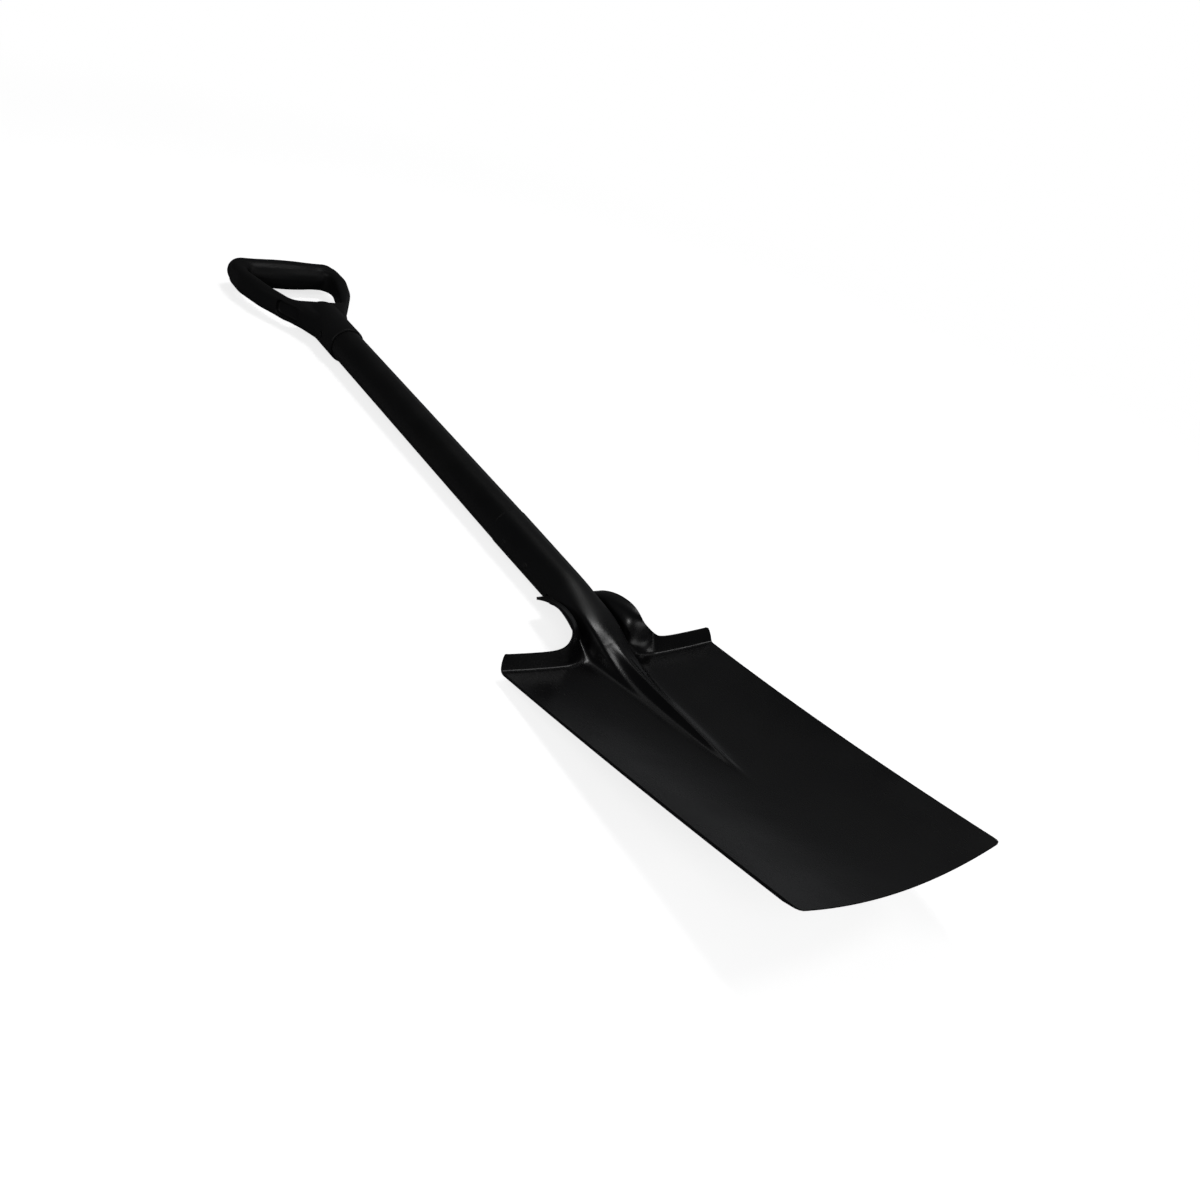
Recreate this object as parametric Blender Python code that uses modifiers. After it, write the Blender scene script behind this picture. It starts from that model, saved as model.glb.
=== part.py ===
"""Digging spade, lying face up: pressed steel head, sleeved tubular shaft and moulded D grip.

Metres, +Z up. +Y runs from the cutting edge to the grip and +X to the right, seen with the face up.
The origin is the middle of the footprint. At rest the backs of the socket and of the grip's neck
touch the ground.
"""

import math

import bmesh
import bpy
import numpy as np
from mathutils import Matrix, Vector

# Blade
BLADE_LENGTH = 0.281        # from the tread fold to the corners of the cutting edge
BLADE_TOP_WIDTH = 0.1885
BLADE_EDGE_WIDTH = 0.1678
BLADE_WAIST = 0.0010        # how far each side curves in at half length
EDGE_BOW = 0.002            # how far the middle of the cutting edge stands past its corners
DISH_TOP = 0.0044           # how far the sides stand forward of the middle, at the treads
DISH_EDGE = 0.0092          # and at the cutting edge
SIDE_SAG = 0.0024           # how far the side edges curve back at half length
MIDDLE_SAG = 0.0051         # how much more the middle curves back
SHEET = 0.0020
GROUND_EDGE = 0.0007        # thickness of the cutting edge

# Treads, turned forward out of the blade
TREAD_HEIGHT = 0.0118
TREAD_TURN = math.radians(73)
TREAD_BEND = 0.0030         # inner radius of the fold
TREAD_END_CUT = 0.0035      # how far the top corner of a tread is cut back

# Ridge down the front of the blade
RIDGE_LENGTH = 0.152
RIDGE_HEIGHT = 0.0128
RIDGE_HALF_WIDTH = 0.0165   # half width of the round part, at the treads
RIDGE_FOOT = 0.0080         # width of the hollow beside it, at the treads
# (share of its length, share of its height), up to the treads
RIDGE_RISE = (
    (-1.0, 0.0), (-0.83, 0.16), (-0.69, 0.38), (-0.55, 0.58),
    (-0.39, 0.735), (-0.24, 0.845), (-0.13, 0.9), (0.0, 1.0),
)

# Neck and its wings, above the treads
NECK_TOP = 0.066            # height of the wings' top edge, where the rolled socket begins
NECK_START = 0.008          # height where the treads have turned into the wings
WING_HALF_SPAN = 0.0307
WING_FORWARD = 0.0313       # how far the wings' rim stands in front of the blade
WING_TOP_DROP = 0.0066      # how far the rim falls back towards its top
WING_LOW_DROP = 0.0196      # and towards the tread
NOTCH_RADIUS = 0.010        # between the tread and the wing
# (share of the neck's height, share of the rise to the socket), for its crest and for the hollow beside it
NECK_RISE = ((0.12, 0.11), (0.27, 0.29), (0.52, 0.65), (0.62, 0.777), (0.74, 0.88), (1.0, 1.0))
HOLLOW_RISE = (
    (0.0, 0.0), (0.06, 0.07), (0.15, 0.21), (0.27, 0.38), (0.39, 0.59),
    (0.52, 0.76), (0.64, 0.87), (0.76, 0.93), (0.88, 0.98), (1.0, 1.0),
)

# Socket, rolled to a tube, by place along the shaft
SOCKET_START = 0.074
SOCKET_END = 0.162
SOCKET_MOUTH_RADIUS = 0.0168
SOCKET_ROOT_RADIUS = 0.0161

# Shaft, along its own axis from the height of the treads
SHAFT_LIFT = math.radians(10.66)
SHAFT_FORWARD = 0.01206     # the axis crosses the tread fold this far in front of the sheet
TUBE_RADIUS = 0.0150
TUBE_WALL = 0.0015
TUBE_START = 0.084
TUBE_END = 0.566
SLEEVE_WALL = 0.0011
CLEARANCE = 0.0003

# Plug in the tube's lower end
PLUG_DEPTH = 0.012
PLUG_FLANGE = 0.002

# Grip, along the shaft
GRIP_START = 0.503
GRIP_NECK_RADIUS = 0.0183
GRIP_MOUTH_BEVEL = 0.0012
GRIP_DOME = 0.021           # how far the neck's round end reaches into the crotch
GRIP_HALF_WIDTH = 0.0602
GRIP_ARM_DEPTH = 0.0250     # front to back
GRIP_ARM_ROUND = 0.0062
GRIP_ARM_WIDTH = 0.0135
BAR_PLACE = 0.6872
BAR_RADIUS = 0.0142         # near its ends
BAR_SWELL = 0.0013          # how much thicker the bar is in the middle
CROTCH_PLACE = 0.589        # the bottom of the hand opening
POCKET_DEPTH = 0.0045
POCKET_LENGTH = 0.030
POCKET_WIDTH = 0.0140

# Rivets, across the shaft and flush at both ends
RIVET_RADIUS = 0.0025
RIVET_SUNK = 0.0001
SOCKET_RIVETS = {"socket_rivet_lower": 0.108, "socket_rivet_upper": 0.142}
GRIP_RIVET = 0.530

ROUND_STEPS = 40

# Angles from the crest down to the side of the round part, and on round the back of the socket
FRONT_TURNS = [math.radians(d) for d in (0, 17, 34, 51, 68, 83, 97)]
BACK_TURNS = [math.radians(d) for d in (114, 131, 148, 164, 180)]
WING_COLUMNS = 6
TREAD_COLUMNS = 7
BLADE_ROWS = 24
FOLD_TURNS = 3
NECK_ROWS = 12
SOCKET_ROWS = 7


def clear_scene():
    for thing in list(bpy.data.objects):
        bpy.data.objects.remove(thing)


def new_collection(name):
    made = bpy.data.collections.new(name)
    bpy.context.scene.collection.children.link(made)
    return made


def new_material(name, colour, roughness, metallic):
    made = bpy.data.materials.new(name)
    made.use_nodes = True
    shader = made.node_tree.nodes["Principled BSDF"]
    shader.inputs["Base Color"].default_value = (*colour, 1.0)
    shader.inputs["Roughness"].default_value = roughness
    shader.inputs["Metallic"].default_value = metallic
    return made


def new_object(name, mesh, group, parent=None, finish=None):
    made = bpy.data.objects.new(name, mesh)
    group.objects.link(made)
    made.parent = parent
    if finish:
        mesh.materials.append(finish)
    return made


def new_mesh(name, shape):
    made = bpy.data.meshes.new(name)
    shape.to_mesh(made)
    shape.free()
    return made


def shade_round(mesh):
    mesh.shade_smooth()
    mesh.set_sharp_from_angle(angle=math.radians(35))


def straight(stations, place):
    """The value at a place on a line through (place, value) stations."""
    if place <= stations[0][0]:
        return stations[0][1]
    for (low, start), (high, end) in zip(stations, stations[1:]):
        if place <= high:
            return start + (end - start) * (place - low) / (high - low)
    return stations[-1][1]


def eased(stations, place, reach):
    """The same line, averaged over a stretch so that its corners are round."""
    taps = 9
    spread = [reach * (step / (taps - 1) - 0.5) for step in range(taps)]
    return sum(straight(stations, place + offset) for offset in spread) / taps


# The pressed head in its own frame: x to the side, y towards the grip, z forward out of the face

def half_width(y):
    share = min(max(-y / BLADE_LENGTH, 0.0), 1.0)
    straight_side = 0.5 * (BLADE_TOP_WIDTH * (1 - share) + BLADE_EDGE_WIDTH * share)
    return straight_side - 4 * share * (1 - share) * BLADE_WAIST


def blade_level(x, y):
    """The dished face of the blade, level with the treads above them."""
    share = min(max(-y / BLADE_LENGTH, 0.0), 1.0)
    across = (x / half_width(y)) ** 2
    dish = DISH_TOP * (1 - share) + DISH_EDGE * share
    sag = 4 * share * (1 - share) * (SIDE_SAG + MIDDLE_SAG * (1 - across))
    return dish * across - sag


def axis_level(y):
    return SHAFT_FORWARD + y * math.tan(SHAFT_LIFT)


def socket_radius(place):
    share = (SOCKET_END - place) / (SOCKET_END - SOCKET_START)
    return SOCKET_MOUTH_RADIUS + (SOCKET_ROOT_RADIUS - SOCKET_MOUTH_RADIUS) * share


def root_rise(y):
    """How far the hollow beside the neck lies in front of the blade."""
    top = axis_level(NECK_TOP)
    stations = [(NECK_TOP * place, top * share) for place, share in HOLLOW_RISE]
    return eased(stations, y, 0.006)


def crest_rise(y):
    """How far the crest of the ridge and neck stands in front of the sheet beside it."""
    step_up = axis_level(NECK_TOP) + SOCKET_ROOT_RADIUS / math.cos(SHAFT_LIFT) - RIDGE_HEIGHT
    stations = [(RIDGE_LENGTH * place, RIDGE_HEIGHT * share) for place, share in RIDGE_RISE]
    stations += [(NECK_TOP * place, RIDGE_HEIGHT + step_up * share) for place, share in NECK_RISE]
    stations.append((2 * NECK_TOP, stations[-1][1] + NECK_TOP * math.tan(SHAFT_LIFT)))
    return eased(stations, y, 0.012) - root_rise(y)


def round_half_width(y):
    """Half width of the round part of the ridge and neck."""
    wide = RIDGE_HALF_WIDTH
    stations = [
        (-BLADE_LENGTH, 0.50 * wide),
        (-1.05 * RIDGE_LENGTH, 0.24 * wide),
        (-0.72 * RIDGE_LENGTH, 0.36 * wide),
        (-0.40 * RIDGE_LENGTH, 0.50 * wide),
        (-0.16 * RIDGE_LENGTH, 0.74 * wide),
        (0.0, wide),
        (0.30 * NECK_TOP, 1.05 * wide),
        (NECK_TOP, SOCKET_ROOT_RADIUS),
    ]
    return eased(stations, y, 0.012)


def foot_width(y):
    """Width of the hollow that joins the round part to the sheet."""
    stations = [
        (-BLADE_LENGTH, 0.60 * RIDGE_FOOT),
        (-RIDGE_LENGTH, 0.45 * RIDGE_FOOT),
        (-0.40 * RIDGE_LENGTH, 0.70 * RIDGE_FOOT),
        (0.0, RIDGE_FOOT),
        (0.30 * NECK_TOP, 0.38 * RIDGE_FOOT),
        (NECK_TOP, 0.25 * RIDGE_FOOT),
    ]
    return eased(stations, y, 0.012)


def hollow_share(y):
    """How far the ridge's section has changed from round to hollow-sided, down the blade."""
    return eased(((-0.50 * RIDGE_LENGTH, 1.0), (-0.10 * RIDGE_LENGTH, 0.0)), y, 0.012)


def hollow_section(across):
    """Height of the hollow-sided ridge, by share of its half width."""
    turned = 1 - (1 - across) ** 1.5
    return 1 - turned * turned * (3 - 2 * turned)


def ridge_points(y):
    """Points from the crest to the sheet, as the neck's rows and the blade's rows share them."""
    wide = round_half_width(y)
    foot = foot_width(y)
    rise = crest_rise(y)
    shape = [(wide * math.sin(turn), math.cos(turn)) for turn in FRONT_TURNS[:-2]]
    shape.append((wide + 0.20 * foot, 0.15))
    shape.append((wide + foot, 0.0))
    points = []
    for x, share in shape:
        section = share + hollow_share(y) * (hollow_section(x / (wide + foot)) - share)
        points.append(Vector((x, y, blade_level(x, y) + root_rise(y) + rise * section)))
    return points


def wing_rim(y):
    """The free edge of the wing, beside the neck at the given height."""
    share = y / NECK_TOP
    rim_y = y - 0.0055 * math.sin(math.pi * share) - 0.0015
    low = max(tread_top() + NOTCH_RADIUS - rim_y, 0.0)
    rim_x = WING_HALF_SPAN + NOTCH_RADIUS - math.sqrt(max(NOTCH_RADIUS**2 - low**2, 0.0))
    turn = 0.53 * NECK_TOP
    if rim_y > turn:
        rim_z = WING_FORWARD - WING_TOP_DROP * ((rim_y - turn) / (NECK_TOP - turn)) ** 2
    else:
        rim_z = WING_FORWARD - WING_LOW_DROP * ((turn - rim_y) / turn) ** 2.6
    return Vector((rim_x, rim_y, rim_z))


def wing_points(y):
    """Points from the hollow beside the neck out to the wing's rim."""
    root = ridge_points(y)[-1]
    rim = wing_rim(y)
    share = y / NECK_TOP
    out = straight(((0.10, 0.85), (0.16, 0.55), (0.30, 0.02), (0.70, 0.02), (0.90, 0.20)), share)
    forward = straight(((0.10, 0.05), (0.16, 0.35), (0.30, 0.86), (0.70, 0.88), (0.90, 0.70)), share)
    points = []
    for step in range(1, WING_COLUMNS + 1):
        t = step / WING_COLUMNS
        bend = 2 * t * (1 - t)
        x = root.x + (rim.x - root.x) * (t * t + bend * out)
        z = root.z + (rim.z - root.z) * (t * t + bend * forward)
        points.append(Vector((x, root.y + (rim.y - root.y) * t, z)))
    return points


def tread_top():
    return TREAD_HEIGHT * math.cos(TREAD_TURN)


def fold_start():
    return -TREAD_BEND * math.tan(TREAD_TURN / 2)


def fold_steps():
    """Shares of a tread's forward rise and of its upward run, round the fold and up to its top."""
    rise = TREAD_HEIGHT * math.sin(TREAD_TURN)
    run = tread_top() - fold_start()
    steps = []
    for step in range(1, FOLD_TURNS + 1):
        turn = TREAD_TURN * step / FOLD_TURNS
        steps.append((TREAD_BEND * (1 - math.cos(turn)) / rise, TREAD_BEND * math.sin(turn) / run))
    rise_share, run_share = steps[-1]
    steps.append((0.5 + 0.5 * rise_share, 0.5 + 0.5 * run_share))
    steps.append((1.0, 1.0))
    return steps


def blade_row(y):
    """One row of points across the half blade, from the crest out to the side edge."""
    row = ridge_points(y)
    foot = row[-1].x
    side = half_width(y)
    inner = foot + 0.22 * (side - foot)
    places = [foot + (inner - foot) * step / WING_COLUMNS for step in range(1, WING_COLUMNS + 1)]
    places += [inner + (side - inner) * (step / TREAD_COLUMNS) ** 1.3 for step in range(1, TREAD_COLUMNS + 1)]
    row += [Vector((x, y, blade_level(x, y))) for x in places]
    for point in row:
        share = y / BLADE_LENGTH
        point.y += share * EDGE_BOW * (1 - (point.x / side) ** 2)
    return row


def fold_row(base, rise_share, run_share):
    """One row of points across the treads, the roots of the wings and the neck."""
    start = fold_start()
    row = ridge_points(start + (NECK_START - start) * run_share)
    ends = wing_points(NECK_START)
    inner = len(row)
    rim = ends[-1]
    for end, point in zip(ends, base[inner:]):
        x = point.x + (end.x - point.x) * rise_share
        y = start + (end.y - start) * run_share
        row.append(Vector((x, y, point.z + (end.z - point.z) * rise_share)))
    rise = TREAD_HEIGHT * math.sin(TREAD_TURN)
    for point in base[inner + WING_COLUMNS:]:
        near_wing = math.exp(-(point.x - rim.x) / (0.5 * NOTCH_RADIUS))
        top_z = rise + (rim.z - rise) * near_wing
        top_y = tread_top() + (rim.y - tread_top()) * near_wing
        row.append(Vector((point.x, start + (top_y - start) * run_share, point.z + top_z * rise_share)))
    row[-1].x -= TREAD_END_CUT * rise_share**2
    return row


def socket_row(place):
    """One ring of points round the half socket, square to the shaft."""
    along = Vector((0, math.cos(SHAFT_LIFT), math.sin(SHAFT_LIFT)))
    forward = Vector((0, -math.sin(SHAFT_LIFT), math.cos(SHAFT_LIFT)))
    middle = Vector((0, 0, SHAFT_FORWARD)) + along * place
    radius = socket_radius(place)
    ring = []
    for turn in FRONT_TURNS + BACK_TURNS:
        ring.append(middle + Vector((radius * math.sin(turn), 0, 0)) + forward * (radius * math.cos(turn)))
    ring[-1].x = 0.0
    return ring


def head_rows():
    start = fold_start()
    rows = []
    for step in range(BLADE_ROWS + 1):
        share = 1 - step / BLADE_ROWS
        rows.append(blade_row(start - (BLADE_LENGTH + start) * share))
    base = rows[-1]
    for rise_share, run_share in fold_steps():
        rows.append(fold_row(base, rise_share, run_share))
    for step in range(1, NECK_ROWS + 1):
        y = NECK_START + (NECK_TOP - NECK_START) * step / NECK_ROWS
        rows.append(ridge_points(y) + wing_points(y))
    for step in range(SOCKET_ROWS + 1):
        rows.append(socket_row(SOCKET_START + (SOCKET_END - SOCKET_START) * step / SOCKET_ROWS))
    return rows


def head_half():
    """The right half of the pressing as one open sheet, its front face towards +z."""
    shape = bmesh.new()
    rows = [[shape.verts.new(point) for point in row] for row in head_rows()]
    first_ring = len(rows) - SOCKET_ROWS - 1
    front = len(FRONT_TURNS)
    for index, (low, high) in enumerate(zip(rows, rows[1:])):
        shared = front if index + 1 == first_ring else min(len(low), len(high))
        for column in range(shared - 1):
            shape.faces.new((low[column], low[column + 1], high[column + 1], high[column]))
    return shape, len(rows[0])


def build_head(parts, frame, finish):
    shape, edge_points = head_half()
    mesh = new_mesh("pressed_head", shape)
    head = new_object("pressed_head", mesh, parts, frame, finish)
    full = head.vertex_groups.new(name="full_sheet")
    full.add(range(edge_points, len(mesh.vertices)), 1.0, "REPLACE")
    mirror = head.modifiers.new("other_half", "MIRROR")
    mirror.merge_threshold = 0.0001
    wall = head.modifiers.new("sheet", "SOLIDIFY")
    wall.thickness = SHEET
    wall.offset = -1.0
    wall.vertex_group = full.name
    wall.thickness_vertex_group = GROUND_EDGE / SHEET
    return head


# Pieces on the shaft. In the shaft's frame y runs along it, from the height of the treads, and z to the front

def turned(name, profile, group, parent, finish=None):
    """A piece turned about the shaft, from (radius, place) points that run down its outer side."""
    shape = bmesh.new()
    points = [shape.verts.new((radius, 0.0, place)) for radius, place in profile]
    for first, second in zip(points, points[1:]):
        shape.edges.new((first, second))
    if profile[0][0] > 0:
        shape.edges.new((points[-1], points[0]))
    made = new_object(name, new_mesh(name, shape), group, parent, finish)
    made.rotation_euler.x = math.radians(-90)
    screw = made.modifiers.new("turn", "SCREW")
    screw.axis = "Z"
    screw.steps = ROUND_STEPS
    screw.render_steps = ROUND_STEPS
    screw.use_merge_vertices = True
    screw.merge_threshold = 0.00001
    return made


def pin(name, place, radius, half_length, group, parent, finish=None):
    """A straight round pin across the shaft."""
    shape = bmesh.new()
    across = Matrix.Rotation(math.radians(90), 4, "Y")
    bmesh.ops.create_cone(
        shape, cap_ends=True, segments=24,
        radius1=radius, radius2=radius, depth=2 * half_length, matrix=across,
    )
    mesh = new_mesh(name, shape)
    shade_round(mesh)
    made = new_object(name, mesh, group, parent, finish)
    made.location.y = place
    return made


def cut(target, cutter):
    step = target.modifiers.new(cutter.name, "BOOLEAN")
    step.operation = "DIFFERENCE"
    step.solver = "EXACT"
    step.object = cutter


def join(target, added):
    step = target.modifiers.new(added.name, "BOOLEAN")
    step.operation = "UNION"
    step.solver = "EXACT"
    step.object = added


def spigot_radius(place):
    return socket_radius(place) - SHEET - CLEARANCE


def build_tube(parts, shaft, finish):
    profile = [
        (TUBE_RADIUS, TUBE_END),
        (TUBE_RADIUS, SOCKET_END + CLEARANCE),
        (spigot_radius(SOCKET_END), SOCKET_END + CLEARANCE),
        (spigot_radius(TUBE_START), TUBE_START),
        (spigot_radius(TUBE_START) - TUBE_WALL, TUBE_START),
        (spigot_radius(SOCKET_END) - TUBE_WALL, SOCKET_END),
        (TUBE_RADIUS - TUBE_WALL, SOCKET_END + 2 * TUBE_WALL),
        (TUBE_RADIUS - TUBE_WALL, TUBE_END),
    ]
    return turned("shaft_tube", profile, parts, shaft, finish)


def build_sleeve(parts, shaft, finish):
    inner = TUBE_RADIUS + CLEARANCE
    outer = inner + SLEEVE_WALL
    top = GRIP_START - CLEARANCE
    bottom = SOCKET_END + CLEARANCE
    profile = [(outer, top), (outer, bottom), (inner, bottom), (inner, top)]
    return turned("shaft_sleeve", profile, parts, shaft, finish)


def build_plug(parts, shaft, finish):
    body = spigot_radius(TUBE_START) - TUBE_WALL - CLEARANCE
    flange = spigot_radius(TUBE_START)
    seat = TUBE_START - CLEARANCE
    profile = [
        (0.0, TUBE_START + PLUG_DEPTH),
        (body - PLUG_FLANGE, TUBE_START + PLUG_DEPTH),
        (body, TUBE_START + PLUG_DEPTH - PLUG_FLANGE),
        (body, seat),
        (flange, seat),
        (flange, seat - 0.5 * PLUG_FLANGE),
        (flange - 0.5 * PLUG_FLANGE, seat - PLUG_FLANGE),
        (0.0, seat - PLUG_FLANGE),
    ]
    return turned("shaft_end_plug", profile, parts, shaft, finish)


def rounded_loop(corners):
    """Points round a closed outline of (x, place, radius) corners, with an arc at each corner."""
    points = []
    for index, (x, place, radius) in enumerate(corners):
        corner = Vector((x, place))
        before = Vector(corners[index - 1][:2]) - corner
        after = Vector(corners[(index + 1) % len(corners)][:2]) - corner
        half_turn = before.angle(after) / 2
        reach = radius / math.tan(half_turn)
        start = corner + before.normalized() * reach
        end = corner + after.normalized() * reach
        inwards = (before.normalized() + after.normalized()).normalized()
        middle = corner + inwards * radius / math.sin(half_turn)
        steps = max(2, round((math.pi - 2 * half_turn) / math.radians(13)))
        sweep = (end - middle).angle_signed(start - middle)
        for step in range(steps + 1):
            turn = sweep * step / steps
            arm = start - middle
            turned_arm = Vector((
                arm.x * math.cos(turn) - arm.y * math.sin(turn),
                arm.x * math.sin(turn) + arm.y * math.cos(turn),
            ))
            points.append(middle + turned_arm)
    return points


def mirrored(half):
    """A whole outline from the corners of its right half, listed downwards."""
    return half + [(-x, place, radius) for x, place, radius in reversed(half)]


def arm_side():
    """The outer corners of an arm, from the crotch up."""
    low = Vector((GRIP_NECK_RADIUS + 0.006, CROTCH_PLACE - 0.022))
    high = Vector((GRIP_HALF_WIDTH - 0.0095, CROTCH_PLACE + 0.031))
    return low, high


def grip_outline():
    """The grip's outline and its hand opening, with the bar's ends covering the outline's top."""
    low, high = arm_side()
    wide = GRIP_HALF_WIDTH
    thick = GRIP_ARM_WIDTH
    outer = [
        (wide, BAR_PLACE + 0.7 * BAR_RADIUS, 0.018),
        (wide, CROTCH_PLACE + 0.066, 0.030),
        (high.x, high.y, 0.060),
        (low.x, low.y, 0.020),
        (0.85 * GRIP_NECK_RADIUS, low.y - 0.026, 0.0075),
    ]
    inner = [
        (wide - thick, BAR_PLACE - 0.75 * BAR_RADIUS, 0.012),
        (wide - thick, CROTCH_PLACE + 0.068, 0.030),
        (high.x - thick, high.y, 0.060),
        (low.x + 0.002, CROTCH_PLACE, 0.009),
    ]
    return mirrored(outer), mirrored(inner)[::-1]


def shrunk(points, depth):
    """A closed outline moved to its left by a depth, point by point."""
    moved = []
    for index, point in enumerate(points):
        along = points[(index + 1) % len(points)] - points[index - 1]
        moved.append(point + Vector((-along.y, along.x)).normalized() * depth)
    return moved


def grip_plate(group, shaft):
    """The arms with their crotch: a flat outline with the hand opening left out, its edges rounded."""
    shape = bmesh.new()
    half = GRIP_ARM_DEPTH / 2
    levels = []
    for step in range(5):
        turn = math.radians(90) * step / 4
        inset = GRIP_ARM_ROUND * (1 - math.sin(turn))
        levels.append((inset, half - GRIP_ARM_ROUND * (1 - math.cos(turn))))
    levels += [(inset, -level) for inset, level in reversed(levels)]
    caps = ([], [])
    for corners in grip_outline():
        points = rounded_loop(corners)
        rings = []
        for inset, level in levels:
            rings.append([shape.verts.new((p.x, p.y, level)) for p in shrunk(points, -inset)])
        for upper, lower in zip(rings, rings[1:]):
            for index in range(len(points)):
                shape.faces.new((upper[index - 1], upper[index], lower[index], lower[index - 1]))
        for edges, ring in zip(caps, (rings[0], rings[-1])):
            edges.extend(shape.edges.get((ring[index - 1], ring[index])) for index in range(len(ring)))
    for edges in caps:
        bmesh.ops.triangle_fill(shape, use_beauty=True, edges=edges)
    bmesh.ops.recalc_face_normals(shape, faces=shape.faces)
    return new_object("d_grip", new_mesh("d_grip", shape), group, shaft)


def grip_bar(group, shaft):
    """The bar across the hand opening, thicker in the middle and with round ends."""
    curve = bpy.data.curves.new("grip_bar", "CURVE")
    curve.dimensions = "3D"
    curve.bevel_depth = 1.0
    curve.bevel_resolution = 6
    curve.use_fill_caps = True
    line = curve.splines.new("POLY")
    half = GRIP_HALF_WIDTH + 0.0005
    inside = 0.52 * GRIP_HALF_WIDTH
    count = 33
    line.points.add(count - 1)
    for spot, step in zip(line.points, range(count)):
        x = half * math.sin(math.pi * (step / (count - 1) - 0.5))
        swell = BAR_SWELL * max(1 - (x / inside) ** 2, 0.0)
        end = max(abs(x) - (half - BAR_RADIUS), 0.0) / BAR_RADIUS
        radius = (BAR_RADIUS + swell) * math.sqrt(max(1 - end * end, 0.04))
        spot.co = (x, BAR_PLACE - swell, 0.0, 1.0)
        spot.radius = radius
    source = new_object("grip_bar_line", curve, group)
    mesh = bpy.data.meshes.new_from_object(source.evaluated_get(bpy.context.evaluated_depsgraph_get()))
    bpy.data.objects.remove(source)
    shape = bmesh.new()
    shape.from_mesh(mesh)
    bmesh.ops.remove_doubles(shape, verts=shape.verts, dist=0.00001)
    shape.to_mesh(mesh)
    shape.free()
    return new_object("grip_bar", mesh, group, shaft)


def grip_neck(group, shaft):
    """The round neck that takes the shaft, domed into the crotch."""
    radius = GRIP_NECK_RADIUS
    start = CROTCH_PLACE - 0.0005 - GRIP_DOME
    profile = [(0.0, start + GRIP_DOME)]
    for step in range(1, 7):
        turn = math.radians(90) * step / 6
        profile.append((radius * math.sin(turn), start + GRIP_DOME * math.cos(turn)))
    profile += [
        (radius, GRIP_START + GRIP_MOUTH_BEVEL),
        (radius - GRIP_MOUTH_BEVEL, GRIP_START),
        (0.0, GRIP_START),
    ]
    return turned("grip_neck", profile, group, shaft)


def grip_pocket(side, group, shaft):
    """The shallow pocket in the outer face of an arm, at its root."""
    name = "pocket_right" if side > 0 else "pocket_left"
    shape = bmesh.new()
    size = Matrix.Diagonal((2 * POCKET_DEPTH, POCKET_LENGTH, POCKET_WIDTH, 1))
    bmesh.ops.create_cube(shape, size=1.0, matrix=size)
    upright = [edge for edge in shape.edges if abs(edge.verts[0].co.x - edge.verts[1].co.x) > POCKET_DEPTH]
    bmesh.ops.bevel(
        shape, geom=upright, offset=0.3 * POCKET_WIDTH, segments=4, profile=0.5, affect="EDGES", material=-1
    )
    mesh = new_mesh(name, shape)
    cutter = new_object(name, mesh, group, shaft)
    low, high = arm_side()
    middle = low + (high - low) * 0.33
    cutter.location = (side * middle.x, middle.y, 0.0)
    cutter.rotation_euler.z = -side * math.atan2(high.x - low.x, high.y - low.y)
    return cutter


def build_grip(parts, cutters, shaft, finish):
    grip = grip_plate(parts, shaft)
    grip.data.materials.append(finish)
    join(grip, grip_bar(cutters, shaft))
    join(grip, grip_neck(cutters, shaft))
    bore = TUBE_RADIUS + CLEARANCE
    bottom = TUBE_END + CLEARANCE
    mouth = GRIP_START - GRIP_MOUTH_BEVEL
    profile = [(0.0, bottom), (bore, bottom), (bore, mouth), (0.0, mouth)]
    cut(grip, turned("grip_bore", profile, cutters, shaft))
    cut(grip, grip_pocket(1, cutters, shaft))
    cut(grip, grip_pocket(-1, cutters, shaft))
    return grip


def build_rivets(parts, cutters, head, tube, grip, shaft, finish):
    """Pins across the shaft, each with a hole through the pieces that it holds together."""
    for name, place in SOCKET_RIVETS.items():
        reach = socket_radius(place)
        pin(name, place, RIVET_RADIUS, reach - RIVET_SUNK, parts, shaft, finish)
        hole = pin(name + "_hole", place, RIVET_RADIUS + CLEARANCE, 1.2 * reach, cutters, shaft)
        cut(head, hole)
        cut(tube, hole)
    pin("grip_rivet", GRIP_RIVET, RIVET_RADIUS, GRIP_NECK_RADIUS - RIVET_SUNK, parts, shaft, finish)
    reach = 1.2 * GRIP_NECK_RADIUS
    hole = pin("grip_rivet_hole", GRIP_RIVET, RIVET_RADIUS + CLEARANCE, reach, cutters, shaft)
    cut(tube, hole)
    cut(grip, hole)


def shade_finished(pieces):
    for piece in pieces:
        shade_round(piece.data)


def world_points(piece):
    """The corners of a finished piece, with its modifiers, as rows of x, y, z."""
    ready = piece.evaluated_get(bpy.context.evaluated_depsgraph_get())
    return np.array([ready.matrix_world @ corner.co for corner in ready.data.vertices])


def lowest(points, tilt):
    return (points[:, 2] * math.cos(tilt) - points[:, 1] * math.sin(tilt)).min()


def lay_down(spade, pieces):
    """Tilt the spade until head and grip both touch the ground, then put its footprint on the origin."""
    bpy.context.view_layer.update()
    head = world_points(pieces["pressed_head"])
    grip = world_points(pieces["d_grip"])
    low = 0.0
    high = 2 * SHAFT_LIFT
    for _ in range(50):
        tilt = (low + high) / 2
        if lowest(grip, tilt) > lowest(head, tilt):
            low = tilt
        else:
            high = tilt
    spade.rotation_euler.x = -tilt
    bpy.context.view_layer.update()
    points = np.vstack([world_points(piece) for piece in pieces.values()])
    middle = (points.min(axis=0) + points.max(axis=0)) / 2
    spade.location = (-middle[0], -middle[1], -points[:, 2].min())


def hide_cutters(group):
    for cutter in group.objects:
        cutter.hide_render = True
        cutter.display_type = "WIRE"


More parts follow.
